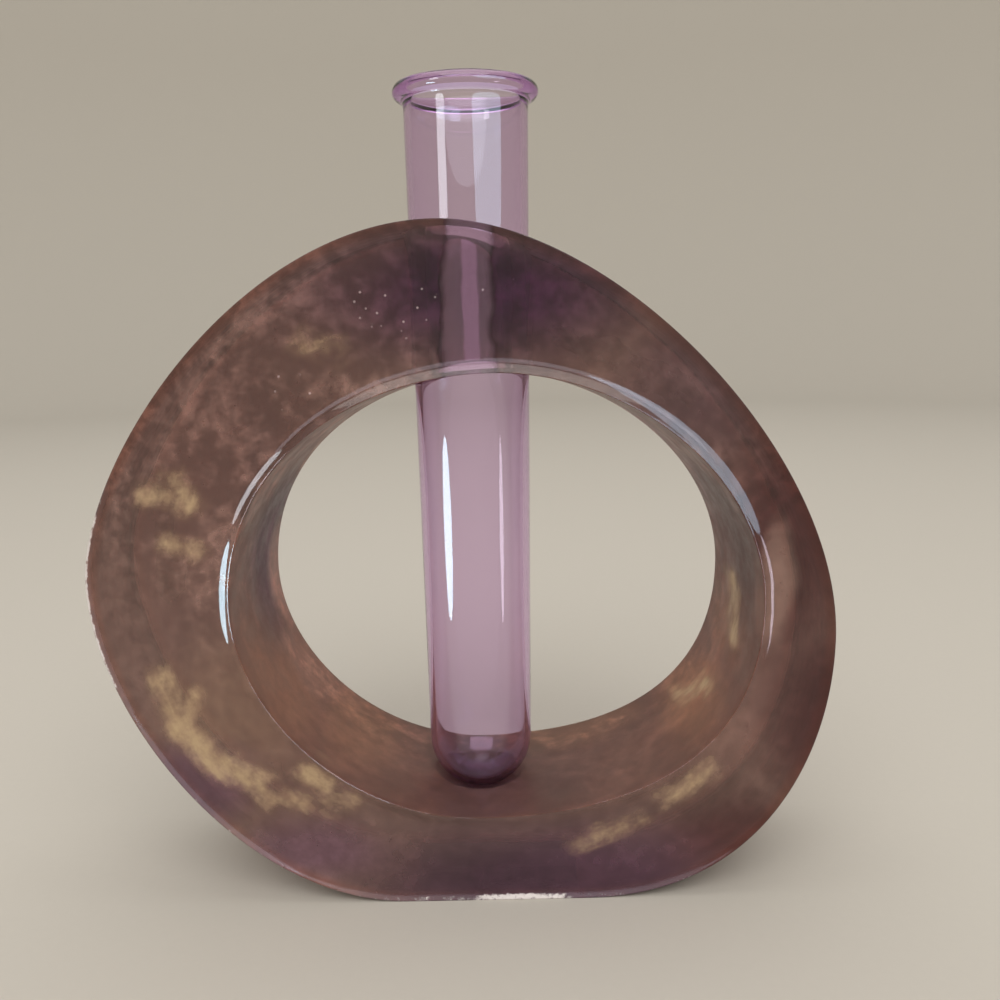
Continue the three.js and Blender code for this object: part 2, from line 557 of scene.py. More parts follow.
    mottled: tuple[Pour, ...] = (
        Pour((-44, -8, 104), (48, 44, 56)),
        Pour((-4, -10, 124), (46, 40, 22), 0.9),
        Pour((52, -10, 100), (26, 40, 34), 0.6),
        Pour((0, 14, 70), (90, 18, 80), 0.8),
        Pour((70, 4, 60), (14, 24, 70), 0.9),
    )
    bubbles: tuple[Pour, ...] = (
        Pour((-15, -14, 122), (12, 12, 8)),
        Pour((6, -14, 125), (8, 12, 6), 0.5),
        Pour((-34, -14, 112), (14, 12, 10), 0.25),
    )
    # Whitish crumbs along the front edge at the foot and on the left: sanded wear, with the highlight that
    # the edge's crest catches painted in as well.
    scuff_and_highlight: Wash = Wash(
        (0.8, 0.74, 0.72),
        (
            Pour((-77, -20, 66), (14, 20, 34)),
            Pour((-56, -20, 24), (28, 20, 32), 0.5),
            Pour((8, -20, 0), (15, 20, 8)),
            Pour((-14, -20, 0), (26, 20, 8), 0.55),
            Pour((34, -20, 2), (20, 20, 10), 0.5),
        ),
    )

    def make(self) -> bpy.types.Material:
        """Builds the material.

        Returns:
            The resin, to be given to the ring.
        """
        board = NodeBoard("clouded_resin")
        mica = self._mica(board, self._swirl(board, self.mica_swirl))
        front = self._front(board)
        inward = self._inward(board)
        bare = self._bare(board, front)
        gold, shine = self._gold(board, self._swirl(board, self.gold_swirl))
        bubble = self._bubbles(board)
        scuff_and_highlight, worn = self._scuff_and_highlight(board)
        colour = self._pigment(board, mica)
        for share, over in (
            (inward, board.vector("MULTIPLY", colour, self.wall)),
            (board.span(bare, *self.bare_band), self.bare),
            (gold, board.mix(shine, self.dark_gold, self.light_gold)),
            (bubble, self.bubble),
            # Whitens the front edge: sanded wear and a painted highlight.
            (scuff_and_highlight, self.scuff_and_highlight.colour),
        ):
            colour = board.mix(share, colour, over)
        solid = board.math("MAXIMUM", gold, board.math("MAXIMUM", bubble, scuff_and_highlight))
        board.surface(
            Base_Color=colour,
            Metallic=board.math("MULTIPLY", gold, self.gold_metal),
            Roughness=self._gloss(board, board.math("MAXIMUM", front, bare), inward, worn),
            IOR=self.refraction,
            Transmission_Weight=self._clarity(board, mica, bare, solid),
            Normal=board.bump(board.noise(board.place, self.ripple_grain, 2.0), self.ripple_depth),
        )
        board.absorb(self.tint, self.tint_density)
        return board.material

    def _swirl(self, board: NodeBoard, reach: float) -> Socket:
        """Stirs the coordinates in slow swirls with quick ones on them, as pigment is stirred in resin.

        Args:
            board: The node tree to draw in.
            reach: How far the slow swirls go, in metres.

        Returns:
            The stirred coordinates.
        """
        swept = board.place
        for grain, push in ((self.slow_grain, reach), (self.quick_grain, reach / 6)):
            stir = board.noise(board.place, grain, 2.0).node.outputs["Color"]
            stir = board.vector("SUBTRACT", stir, (0.5, 0.5, 0.5))
            swept = board.vector("ADD", swept, board.vector("MULTIPLY", stir, (push,) * 3))
        return swept

    def _streaks(self, board: NodeBoard, place: Socket, grain: float, stretch: float) -> Socket:
        """Draws streaks that run round the ring, as the resin flowed in its mould.

        Args:
            board: The node tree to draw in.
            place: The coordinates that the streaks read.
            grain: How wide the widest streaks are, in metres.
            stretch: How many times longer than wide they are.

        Returns:
            How strong the streaks are, from 0 to 1.
        """
        arm = self._arm(board, place)
        around = board.vector("MULTIPLY", board.vector("NORMALIZE", arm), (self.middle[2] / stretch,) * 3)
        outward = board.vector("MULTIPLY", board.vector("LENGTH", arm), BACK)
        deep = board.vector("DOT_PRODUCT", place, BACK)
        return board.noise(board.vector("ADD", around, outward), grain, 4.0, 0.5, deep)

    def _mica(self, board: NodeBoard, place: Socket) -> Socket:
        """Draws the mica's slow clouds, fine mottles and streaks.

        Args:
            board: The node tree to draw in.
            place: The coordinates that the mica reads.

        Returns:
            How thick the mica lies, about 0.5 on average.
        """
        clouds = board.math("MULTIPLY", board.noise(place, self.cloud_grain, 2.0), self.cloud_share)
        mottle = board.noise(place, self.mottle_grain, 4.0, 0.62)
        mottle = board.math("MULTIPLY", mottle, self.mottle_share)
        streaks = self._streaks(board, place, self.streak_grain, self.mica_stretch)
        streaks = board.math("MULTIPLY", streaks, self.streak_share)
        thick = board.math("SUBTRACT", board.math("ADD", clouds, board.math("ADD", mottle, streaks)), 0.5)
        lively = board.span(self._patches(board, place, self.mottled), 0.0, 1.0, *self.mottle_contrast)
        return board.math("ADD", board.math("MULTIPLY", thick, lively), 0.5)

    def _pigment(self, board: NodeBoard, mica: Socket) -> Socket:
        """Lays the washes over the body's colour, the rose one with a painted highlight on the right lip, and
        shades them by the mica.

        Args:
            board: The node tree to draw in.
            mica: How thick the mica lies.

        Returns:
            The clouded colour.
        """
        eddied = self._swirl(board, self.wash_swirl)
        colour: object = self.body
        # The rose wash's last patch is a painted highlight on the right lip.
        for wash in (self.tan, self.plum, self.maroon, self.violet, self.rose_and_highlight):
            colour = board.mix(self._patches(board, eddied, wash.pours), colour, wash.colour)
        return board.vector("MULTIPLY", colour, board.span(mica, *self.mica_band, *self.mica_shades))

    def _gold(self, board: NodeBoard, place: Socket) -> tuple[Socket, Socket]:
        """Draws the veins of gold mica.

        Args:
            board: The node tree to draw in.
            place: The coordinates that the veins read.

        Returns:
            How thick the gold lies and how bright it shines, each from 0 to 1.
        """
        poured: object = 0.0
        for vein in self.gold:
            poured = board.math("MAXIMUM", poured, self._vein(board, place, vein))
        flow = self._streaks(board, place, self.flow_grain, self.gold_stretch)
        flake = board.noise(board.place, self.flake_grain, 5.0, 0.7)
        grain = board.math("ADD", flow, board.math("MULTIPLY", flake, self.flake_share))
        grain = board.math("SUBTRACT", grain, self.gold_level)
        heap = board.math("ADD", poured, board.math("MULTIPLY", grain, self.gold_grit))
        cover = board.span(heap, *self.heap_band, 0.0, self.gold_cover)
        gold = board.math("MULTIPLY", cover, board.span(poured, *self.vein_band))
        sparkle = self._streaks(board, place, self.sparkle_grain, self.gold_stretch)
        sparkle = board.math("MULTIPLY", sparkle, self.sparkle_share)
        shine = board.math("ADD", board.math("MULTIPLY", heap, self.heap_share), sparkle)
        return gold, board.span(shine, *self.shine_band)

    def _vein(self, board: NodeBoard, place: Socket, vein: Vein) -> Socket:
        """Draws one streak, which lies deeper than it is wide.

        Args:
            board: The node tree to draw in.
            place: The coordinates that the streak reads.
            vein: The streak.

        Returns:
            How strong it is, from 0 to 1.
        """
        start = Vector(vein.start) * MM
        run = Vector(vein.end) * MM - start
        offset = board.vector("SUBTRACT", place, tuple(start))
        share = board.vector("DOT_PRODUCT", offset, tuple(run / run.length_squared))
        nearest = board.vector("MULTIPLY", board.math("ADD", share, 0.0, held=True), tuple(run))
        away = board.vector("MULTIPLY", board.vector("SUBTRACT", offset, nearest), self.vein_squash)
        edge = self.vein_spread * vein.width * MM
        return board.span(board.vector("LENGTH", away), edge, 0.0, 0.0, vein.strength)

    def _bubbles(self, board: NodeBoard) -> Socket:
        """Draws the fine bubbles that set in the crown.

        Args:
            board: The node tree to draw in.

        Returns:
            Where the bubbles are, from 0 to 1.
        """
        crowd = self._patches(board, board.place, self.bubbles)
        cell = board.cells(board.place, self.bubble_grain)
        limit = board.math("MULTIPLY", crowd, self.bubble_share)
        chosen = board.math("LESS_THAN", board.chance(cell.outputs["Color"]), limit)
        dot = board.span(cell.outputs["Distance"], *self.bubble_band, 0.0, self.bubble_cover)
        return board.math("MULTIPLY", chosen, dot)

    def _scuff_and_highlight(self, board: NodeBoard) -> tuple[Socket, Socket]:
        """Draws the whitened stretches of the front edge, at the foot and along the left: sanded wear, with a
        painted highlight on the crest.

        Args:
            board: The node tree to draw in.

        Returns:
            Where the edge is painted white, as crumbled wear and as the crest's highlight, and where it has
            lost its gloss, each from 0 to 1.
        """
        depth = board.along(BACK)
        sole = board.span(board.along(UP), *self.sole_band)
        edge = board.math("MAXIMUM", board.span(depth, *self.edge_band), sole)
        # Where the front edge is painted white, as wear and as a highlight on its crest.
        rubbed_and_lit = self._patches(board, board.place, self.scuff_and_highlight.pours)
        chipped_and_lit = board.math("MULTIPLY", edge, rubbed_and_lit)
        crumbs = board.noise(board.place, self.crumb_grain, 4.0, 0.7)
        heap = board.math("ADD", board.math("MULTIPLY", chipped_and_lit, self.crumb_share), crumbs)
        white = board.math("MULTIPLY", board.span(heap, *self.crumb_band), board.span(chipped_and_lit, 0.0, 0.2))
        dull = board.math("MULTIPLY", board.span(depth, *self.dull_band), board.span(rubbed_and_lit, 0.0, 0.5))
        return white, board.math("MAXIMUM", white, dull)

    def _patches(self, board: NodeBoard, place: Socket, pours: tuple[Pour, ...]) -> Socket:
        """Draws a set of patches, such as a pigment's or a painted highlight's.

        Args:
            board: The node tree to draw in.
            place: The coordinates that the patches read.
            pours: The patches.

        Returns:
            How strong the patches are, from 0 to 1.
        """
        total: object = 0.0
        for pour in pours:
            away = board.vector("SUBTRACT", place, tuple(side * MM for side in pour.middle))
            away = board.vector("MULTIPLY", away, tuple(1.0 / (side * MM) for side in pour.reach))
            patch = board.span(board.vector("LENGTH", away), *self.patch_band, 0.0, pour.strength)
            total = board.math("MAXIMUM", total, patch)
        return total

    def _clarity(self, board: NodeBoard, mica: Socket, bare: Socket, solid: Socket) -> Socket:
        """Works out how clear the resin is: less in thick mica and near the foot, least in what is solid.

        Args:
            board: The node tree to draw in.
            mica: How thick the mica lies.
            bare: Where the crown is free of mica.
            solid: Where gold, bubbles or worn edges hide the resin.

        Returns:
            The share of light that goes through the surface.
        """
        clear = board.span(mica, *self.clear_band, self.clear_share, self.cloudy_share)
        settled = board.span(board.along(UP), *self.settled_band, self.settled_share, 1.0)
        clear = board.math("MULTIPLY", clear, settled)
        clear = board.math("MAXIMUM", clear, board.span(bare, 0.0, 0.5, 0.0, self.bare_share))
        return board.math("MULTIPLY", clear, board.span(solid, 0.0, 1.0, 1.0, self.solid_share))

    def _gloss(self, board: NodeBoard, polished: Socket, inward: Socket, worn: Socket) -> Socket:
        """Works out the roughness: a polished front, duller moulded sides and a satin opening.

        Args:
            board: The node tree to draw in.
            polished: Where the resin is glossy.
            inward: Where the surface looks into the ring's opening.
            worn: Where it is worn dull.

        Returns:
            The roughness.
        """
        rub = board.noise(board.place, self.rub_grain, 5.0, 0.7)
        satin = board.math("ADD", board.math("MULTIPLY", inward, self.satin), self.cast)
        satin = board.math("MULTIPLY", satin, board.span(rub, *self.rub_band, *self.rub_shades))
        drop = board.math("MULTIPLY", polished, board.math("SUBTRACT", satin, self.polish))
        dull = board.math("MULTIPLY", worn, self.worn)
        return board.math("MAXIMUM", board.math("SUBTRACT", satin, drop), dull)

    def _arm(self, board: NodeBoard, place: Socket) -> Socket:
        """Returns the way from the ring's middle to a place, seen from the front."""
        return board.vector("MULTIPLY", board.vector("SUBTRACT", place, self.middle), (1.0, 0.0, 1.0))

    def _inward(self, board: NodeBoard) -> Socket:
        """Returns where the surface looks into the ring's opening, from 0 to 1."""
        outward = board.vector("NORMALIZE", self._arm(board, board.place))
        return board.span(board.facing(outward), *self.inward_band)

    def _front(self, board: NodeBoard) -> Socket:
        """Returns where the surface looks to the front, from 0 on the walls to 1 on the face."""
        return board.span(board.facing(BACK), *self.front_band)

    def _bare(self, board: NodeBoard, front: Socket) -> Socket:
        """Works out where the crown is free of mica: a strip of the front face, and the bore's wall.

        Args:
            board: The node tree to draw in.
            front: Where the surface looks to the front.

        Returns:
            How clear the resin is, from 0 to 1.
        """
        aside = board.vector("LENGTH", board.vector("MULTIPLY", board.place, (1.0, 0.0, 0.0)))
        outward = board.vector("LENGTH", board.vector("MULTIPLY", board.place, (1.0, 1.0, 0.0)))
        ragged = board.math("MULTIPLY", board.noise(board.place, self.ragged_grain), self.ragged_reach)
        strip = board.span(board.math("ADD", aside, ragged), *self.strip_band)
        wall = board.span(outward, self.bore_radius + self.bore_skin, self.bore_radius)
        clear = board.math("MAXIMUM", board.math("MULTIPLY", front, strip), wall)
        return board.math("MULTIPLY", clear, board.span(board.along(UP), *self.crown_band))


@dataclass(frozen=True)
class GlassFinish:
    """Clear polished tube, tinted lilac all through its wall, with faint waves drawn out along it."""

    surface: Colour = (0.98, 0.96, 0.99)
    tint: Colour = (0.6, 0.13, 0.7)
    tint_density: float = 180.0
    refraction: float = 1.49
    polish: float = 0.015
    drawn: Spot = (1.0, 1.0, 0.12)
    wave_grain: float = 7 * MM
    wave_depth: float = 0.04 * MM

    def make(self) -> bpy.types.Material:
        """Builds the material.

        Returns:
            The tinted glass, to be given to the tube.
        """
        board = NodeBoard("lilac_tube")
        waves = board.noise(board.vector("MULTIPLY", board.place, self.drawn), self.wave_grain, 2.0)
        board.surface(
            Base_Color=self.surface,
            Roughness=self.polish,
            IOR=self.refraction,
            Transmission_Weight=1.0,
            Normal=board.bump(waves, self.wave_depth),
        )
        board.absorb(self.tint, self.tint_density)
        return board.material


@dataclass(frozen=True)
class StudioFinish:
    """Matt pale paper for the floor and its round wall."""

    colour: Colour = (0.56, 0.53, 0.475)
    grain: float = 2 * MM
    contrast: float = 1.03
    roughness: float = 0.85

    def make(self) -> bpy.types.Material:
        """Builds the material.

        Returns:
            The paper, to be given to the floor.
        """
        board = NodeBoard("pale_paper")
        grain = board.noise(board.place, self.grain, 3.0)
        lighter = tuple(part * self.contrast for part in self.colour)
        colour = board.mix(grain, self.colour, lighter)
        board.surface(Base_Color=colour, Roughness=self.roughness, Specular_IOR_Level=0.0)
        return board.material


@dataclass(frozen=True)
class Outline:
    """A closed outline seen from the front, as four quarters between its turning points.

    Each quarter's two shares say how far its curve leans out along its level end and its upright end. A
    flat stretch along the bottom belongs half to each lower quarter.
    """

    top: Point
    right: Point
    bottom: Point
    left: Point
    crown_right: Lean
    foot_right: Lean
    foot_left: Lean
    crown_left: Lean
    flat_right: float = 0.0
    flat_left: float = 0.0

    def points(self, per_quarter: int) -> list[Point]:
        """Spreads points evenly along each quarter, clockwise from the top as seen from the front.

        Args:
            per_quarter: How many points each quarter has.

        Returns:
            The points of the whole outline.
        """
        flat_right = (self.bottom[0] + self.flat_right, self.bottom[1])
        flat_left = (self.bottom[0] - self.flat_left, self.bottom[1])
        quarters = (
            self._quarter(self.top, self.right, self.crown_right),
            self._quarter(flat_right, self.right, self.foot_right)[::-1] + [Vector(self.bottom)],
            [Vector(self.bottom)] + self._quarter(flat_left, self.left, self.foot_left),
            self._quarter(self.top, self.left, self.crown_left)[::-1],
        )
        return [point for quarter in quarters for point in self._spread(quarter, per_quarter)]

    @staticmethod
    def _quarter(level: Point, upright: Point, lean: Lean) -> list[Vector]:
        """Draws one quarter finely.

        Args:
            level: Its level end, at the top or the bottom.
            upright: Its upright end, at the side.
            lean: How far the curve leans out along each end.

        Returns:
            Close points from the level end to the upright end.
        """
        level_handle = Vector((level[0] + (upright[0] - level[0]) * lean[0], level[1]))
        upright_handle = Vector((upright[0], upright[1] + (level[1] - upright[1]) * lean[1]))
        return interpolate_bezier(Vector(level), level_handle, upright_handle, Vector(upright), QUARTER_STEPS)

    @staticmethod
    def _spread(path: list[Vector], count: int) -> list[Point]:
        """Spreads points evenly along a path, from its start to just before its end.

        Args:
            path: The path's close points.
            count: How many points to spread.

        Returns:
            The spread points.
        """
        lengths = [0.0]
        for first, second in zip(path, path[1:]):
            lengths.append(lengths[-1] + (second - first).length)
        spread = []
        index = 0
        for step in range(count):
            reach = lengths[-1] * step / count
            while lengths[index + 1] < reach:
                index += 1
            gap = lengths[index + 1] - lengths[index]
            share = (reach - lengths[index]) / gap if gap > 0 else 0.0
            point = path[index].lerp(path[index + 1], share)
            spread.append((point.x, point.y))
        return spread


@dataclass
class RingCasting:
    """The cast ring: one body with a lipped front face, a bore through its crown and a seat in its floor."""

    low: Vector
    high: Vector
    finish: ResinFinish
    bore_radius: float
    seat_radius: float
    seat_depth: float
    crown_shift: float = -6 * MM
    bulge_left: float = 69 * MM
    bulge_right: float = 55.5 * MM
    foot_left: float = 15 * MM
    foot_right: float = 22 * MM
    crown_limb: float = 28.7 * MM
    left_limb: float = 28 * MM
    right_limb: float = 14.5 * MM
    floor_limb: float = 18.7 * MM
    opening_shift: float = 4 * MM
    opening_left: float = 64 * MM
    opening_right: float = 63 * MM
    opening_taper: float = 2 * MM
    middle_reach: float = 60 * MM
    lip_rise: float = 1 * MM
    lip_span: float = 3.2 * MM
    lip_steps: tuple[float, ...] = (0.14, 0.28, 0.44, 0.62, 0.81, 1.0)
    crest_radius: float = 0.3 * MM
    back_radius: float = 3 * MM
    per_quarter: int = 72
    wall_cuts: int = 23
    face_cuts: int = 7
    back_segments: int = 8
    crest_segments: int = 3
    bore_steps: int = 128
    seat_steps: tuple[int, int] = (96, 64)
    sharp_angle: float = math.radians(35)
    piece: bpy.types.Object = field(init=False)

    def build(self) -> None:
        """Models the ring from its two outlines."""
        self.piece = self._loop("resin_ring", self._ring_outline())
        opening = self._loop("opening", self._opening_outline())
        Workbench.pick(self.piece, opening)
        bpy.ops.object.join()
        with Workbench.editing(self.piece):
            bpy.ops.mesh.select_all(action="SELECT")
            bpy.ops.mesh.bridge_edge_loops()
            self._raise_lips()
            self._draw_walls()
            self._round_edges()
            self._refine()
        Workbench.cut(self.piece, self._bore())
        Workbench.cut(self.piece, self._seat())
        Workbench.smooth(self.piece, self.sharp_angle)

    def dress(self) -> None:
        """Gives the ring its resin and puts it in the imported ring's place."""
        self.piece.data.materials.clear()
        self.piece.data.materials.append(self.finish.make())
        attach(self.piece, Body.RING.value)
        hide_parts("ring_body")

    def _ring_outline(self) -> Outline:
        """Returns the ring's outer outline."""
        return Outline(
            top=(self.crown_shift, self.high.z),
            right=(self.high.x, self.bulge_right),
            bottom=(0.0, self.low.z),
            left=(self.low.x, self.bulge_left),
            crown_right=(0.43, 0.45),
            foot_right=(0.72, 0.46),
            foot_left=(0.55, 0.41),
            crown_left=(0.53, 0.34),
            flat_right=self.foot_right,
            flat_left=self.foot_left,
        )

    def _opening_outline(self) -> Outline:
        """Returns the opening's outline at the front face."""
        return Outline(
            top=(self.opening_shift, self.high.z - self.crown_limb),
            right=(self.high.x - self.right_limb, self.opening_right),
            bottom=(0.0, self.floor_limb),
            left=(self.low.x + self.left_limb, self.opening_left),
            crown_right=(0.51, 0.55),
            foot_right=(0.61, 0.68),
            foot_left=(0.55, 0.49),
            crown_left=(0.49, 0.65),
        )

    def _loop(self, name: str, outline: Outline) -> bpy.types.Object:
        """Lays a circle's points along an outline in the plane of the front face.

        Args:
            name: The new object's name.
            outline: The outline to follow.

        Returns:
            The loop.
        """
        Workbench.clear()
        bpy.ops.mesh.primitive_circle_add(vertices=4 * self.per_quarter, radius=self.middle_reach)
        loop = bpy.context.object
        loop.name = loop.data.name = name
        for vertex, (across, height) in zip(loop.data.vertices, outline.points(self.per_quarter)):
            vertex.co = (across, self.low.y, height)
        return loop

    def _raise_lips(self) -> None:
        """Sinks the front face in a hollow curve, so that a lip stands along both of its edges."""
        bpy.ops.mesh.select_mode(type=Element.FACE.name)
        bpy.ops.mesh.select_all(action="SELECT")
        inset_before = depth_before = 0.0
        for share in self.lip_steps:
            depth = self.lip_rise * (1 - (1 - share) ** 2)
            step = share * self.lip_span - inset_before
            bpy.ops.mesh.inset(thickness=step, use_boundary=True, use_even_offset=True)
            bpy.ops.transform.translate(value=(0.0, depth - depth_before, 0.0))
            inset_before += step
            depth_before = depth

    def _draw_walls(self) -> None:
        """Draws both edges back into walls, closes the opening in a little, and closes the back."""
        Workbench.select(self.piece, Element.EDGE, lambda edge: edge.is_boundary)
        depth = self.high.y - self.low.y
        bpy.ops.mesh.extrude_region_move(TRANSFORM_OT_translate={"value": (0.0, depth, 0.0)})
        width = self.high.x - self.right_limb - self.low.x - self.left_limb
        height = self.high.z - self.crown_limb - self.floor_limb
        middle = Vector((self.low.x + self.left_limb + width / 2, 0.0, self.floor_limb + height / 2))
        Workbench.select(self.piece, Element.VERT, lambda vertex: self._is_back_of_opening(vertex, middle))
        bpy.ops.transform.resize(
            value=(1 - 2 * self.opening_taper / width, 1.0, 1 - 2 * self.opening_taper / height),
            center_override=middle,
        )
        Workbench.select(self.piece, Element.EDGE, lambda edge: edge.is_boundary)
        bpy.ops.mesh.bridge_edge_loops()
        bpy.ops.mesh.select_all(action="SELECT")
        bpy.ops.mesh.normals_make_consistent(inside=False)

    def _is_back_of_opening(self, vertex: bmesh.types.BMVert, middle: Vector) -> bool:
        """Says whether a vertex is on the opening's edge at the back."""
        aside = math.hypot(vertex.co.x - middle.x, vertex.co.z - middle.z)
        return vertex.co.y > self.high.y - TOUCH and aside < self.middle_reach

    def _round_edges(self) -> None:
        """Rounds the moulded back edges well and the lips' crests a little."""
        back = self.high.y - TOUCH
        front = self.low.y + TOUCH
        for place, radius, segments in (
            (lambda vertex: vertex.co.y > back, self.back_radius, self.back_segments),
            (lambda vertex: vertex.co.y < front, self.crest_radius, self.crest_segments),
        ):
            Workbench.select(
                self.piece,
                Element.EDGE,
                lambda edge: Workbench.is_corner(edge) and all(place(vertex) for vertex in edge.verts),
            )
            bpy.ops.mesh.bevel(offset=radius, segments=segments, affect="EDGES")

    def _refine(self) -> None:
        """Divides the walls and the two faces into finer rows."""
        depth = self.high.y - self.low.y
        Workbench.select(
            self.piece,
            Element.EDGE,
            lambda edge: abs(edge.verts[0].co.y - edge.verts[1].co.y) > depth / 2,
        )
        bpy.ops.mesh.subdivide_edgering(number_cuts=self.wall_cuts, interpolation="LINEAR")
        Workbench.select(self.piece, Element.EDGE, lambda edge: edge.calc_length() > self.right_limb / 3)
        bpy.ops.mesh.subdivide_edgering(number_cuts=self.face_cuts, interpolation="LINEAR")

    def _bore(self) -> bpy.types.Object:
        """Makes the round bar that the crown's bore is cut with.

        Returns:
            The bar.
        """
        low = self.high.z - self.crown_limb - self.bore_radius
        high = self.high.z + self.bore_radius
        Workbench.clear()
        bpy.ops.mesh.primitive_cylinder_add(
            vertices=self.bore_steps,
            radius=self.bore_radius,
            depth=high - low,
            location=(0.0, 0.0, (low + high) / 2),
        )
        return bpy.context.object

    def _seat(self) -> bpy.types.Object:
        """Makes the ball that the tube's seat is cut with.

        Returns:
            The ball.
        """
        floor = self.floor_limb + self.opening_taper / 2
        Workbench.clear()
        bpy.ops.mesh.primitive_uv_sphere_add(
            segments=self.seat_steps[0],
            ring_count=self.seat_steps[1],
            radius=self.seat_radius,
            location=(0.0, 0.0, floor - self.seat_depth + self.seat_radius),
        )
        return bpy.context.object


@dataclass
class LilacTube:
    """The round-bottomed tube with a rolled bead at its mouth."""

    low: Vector
    high: Vector
    finish: GlassFinish
    top_radius: float = 12.5 * MM
    foot_radius: float = 11.2 * MM
    wall: float = 1.3 * MM
    bead: float = 3.3 * MM
    flare: float = 2.5 * MM
    arc_steps: int = 20
    bead_steps: int = 18
    wall_steps: int = 12
    round_steps: int = 128
    weld: float = 0.01 * MM
    sharp_angle: float = math.radians(60)
    piece: bpy.types.Object = field(init=False)

    def radius_at(self, height: float) -> float:
        """Works out the tube's outer radius at a height on its straight wall.

        Args:
            height: The height above the foot's plane.

        Returns:
            The radius.
        """
        start = self.low.z + self.foot_radius
        share = (height - start) / (self.high.z - self.bead - self.flare - start)
        return self.foot_radius + (self.top_radius - self.foot_radius) * share

    def build(self) -> None:
        """Draws half of the tube's section point by point and spins it round."""
        Workbench.clear()
        bpy.ops.mesh.primitive_plane_add(size=self.wall)
        self.piece = bpy.context.object
        self.piece.name = self.piece.data.name = "lilac_tube"
        section = self._section()
        with Workbench.editing(self.piece):
            bpy.ops.mesh.select_all(action="SELECT")
            bpy.ops.mesh.merge(type="CENTER")
            bpy.ops.mesh.select_all(action="SELECT")
            bpy.ops.transform.translate(value=(section[0][0], 0.0, section[0][1]))
            for before, after in zip(section, section[1:]):
                step = (after[0] - before[0], 0.0, after[1] - before[1])
                bpy.ops.mesh.extrude_vertices_move(TRANSFORM_OT_translate={"value": step})
            bpy.ops.mesh.select_all(action="SELECT")
            bpy.ops.mesh.spin(
                steps=self.round_steps, angle=FULL_TURN, center=(0.0, 0.0, 0.0), axis=(0.0, 0.0, 1.0)
            )
            bpy.ops.mesh.select_all(action="SELECT")
            bpy.ops.mesh.remove_doubles(threshold=self.weld)
            bpy.ops.mesh.normals_make_consistent(inside=False)
        Workbench.smooth(self.piece, self.sharp_angle)

    def dress(self) -> None:
        """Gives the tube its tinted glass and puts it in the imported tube's place."""
        self.piece.data.materials.clear()
        self.piece.data.materials.append(self.finish.make())
        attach(self.piece, Body.TUBE.value)
        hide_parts("test_tube")

    def _section(self) -> list[Point]:
        """Draws the half section: up the outside, over the bead and down the inside.

        Returns:
            The section's points, from the axis to the axis.
        """
        foot_middle = self.low.z + self.foot_radius
        under_bead = self.high.z - self.bead
        flare_start = under_bead - self.flare
        bead_radius = self.bead / 2
        bead_middle = self.high.x - bead_radius
        mouth = self.top_radius - self.wall
        hollow = self.foot_radius - self.wall
        outside = self._arc((0.0, foot_middle), self.foot_radius, -QUARTER_TURN, 0.0, self.arc_steps)
        shoulder = (self.top_radius, flare_start)
        outside += self._line((self.foot_radius, foot_middle), shoulder, self.wall_steps)[1:]
        outside += self._bend(shoulder, (self.top_radius, under_bead), (bead_middle, under_bead))[1:]
        bead = self._arc(
            (bead_middle, under_bead + bead_radius), bead_radius, -QUARTER_TURN, QUARTER_TURN, self.bead_steps
        )[1:]
        inside = self._bend((bead_middle, self.high.z), (mouth, self.high.z), (mouth, under_bead))[1:]
        inside += self._line((mouth, under_bead), (hollow, foot_middle), self.wall_steps)[1:]
        inside += self._arc((0.0, foot_middle), hollow, 0.0, -QUARTER_TURN, self.arc_steps)[1:]
        return outside + bead + inside

    @staticmethod
    def _arc(middle: Point, radius: float, start: float, end: float, steps: int) -> list[Point]:
        """Returns points along an arc from one angle to another, both ends included."""
        turns = [start + (end - start) * step / steps for step in range(steps + 1)]
        return [(middle[0] + radius * math.cos(turn), middle[1] + radius * math.sin(turn)) for turn in turns]

    @staticmethod
    def _line(start: Point, end: Point, steps: int) -> list[Point]:
        """Returns points along a straight line, both ends included."""
        shares = [step / steps for step in range(steps + 1)]
        return [tuple(a + (b - a) * share for a, b in zip(start, end)) for share in shares]

    def _bend(self, start: Point, corner: Point, end: Point) -> list[Point]:
        """Draws a bend that leaves its start and reaches its end towards one corner.

        Args:
            start: Where the bend starts.
            corner: The corner that it rounds.
            end: Where it ends.

        Returns:
            Points along it, both ends included.
        """
        first = Vector(start).lerp(Vector(corner), BEND_PULL)
        last = Vector(end).lerp(Vector(corner), BEND_PULL)
        curve = interpolate_bezier(Vector(start), first, last, Vector(end), self.bead_steps // 2)
        return [(point.x, point.y) for point in curve]


@dataclass(frozen=True)
class Softbox:
    """A studio lamp: where it hangs, what it faces, its size, its power and its colour.

    A lamp for glints only is seen in reflections and lights nothing else.
    """

    name: str
    place: Spot
    target: Spot
    width: float
    height: float
    power: float
    colour: Colour
    glints_only: bool = False

    def hang(self) -> None:
        """Adds the lamp."""
        lamp = bpy.data.lights.new(self.name, "AREA")
        lamp.shape = "ELLIPSE" if self.glints_only else "RECTANGLE"
        lamp.size = self.width
        lamp.size_y = self.height
        lamp.energy = self.power
        lamp.color = self.colour
        holder = bpy.data.objects.new(self.name, lamp)
        bpy.context.scene.collection.objects.link(holder)
        holder.location = self.place
        aim = Vector(self.target) - Vector(self.place)
        holder.rotation_euler = aim.to_track_quat("-Z", "Y").to_euler()
        holder.visible_camera = False
        holder.visible_diffuse = not self.glints_only
        holder.visible_transmission = not self.glints_only


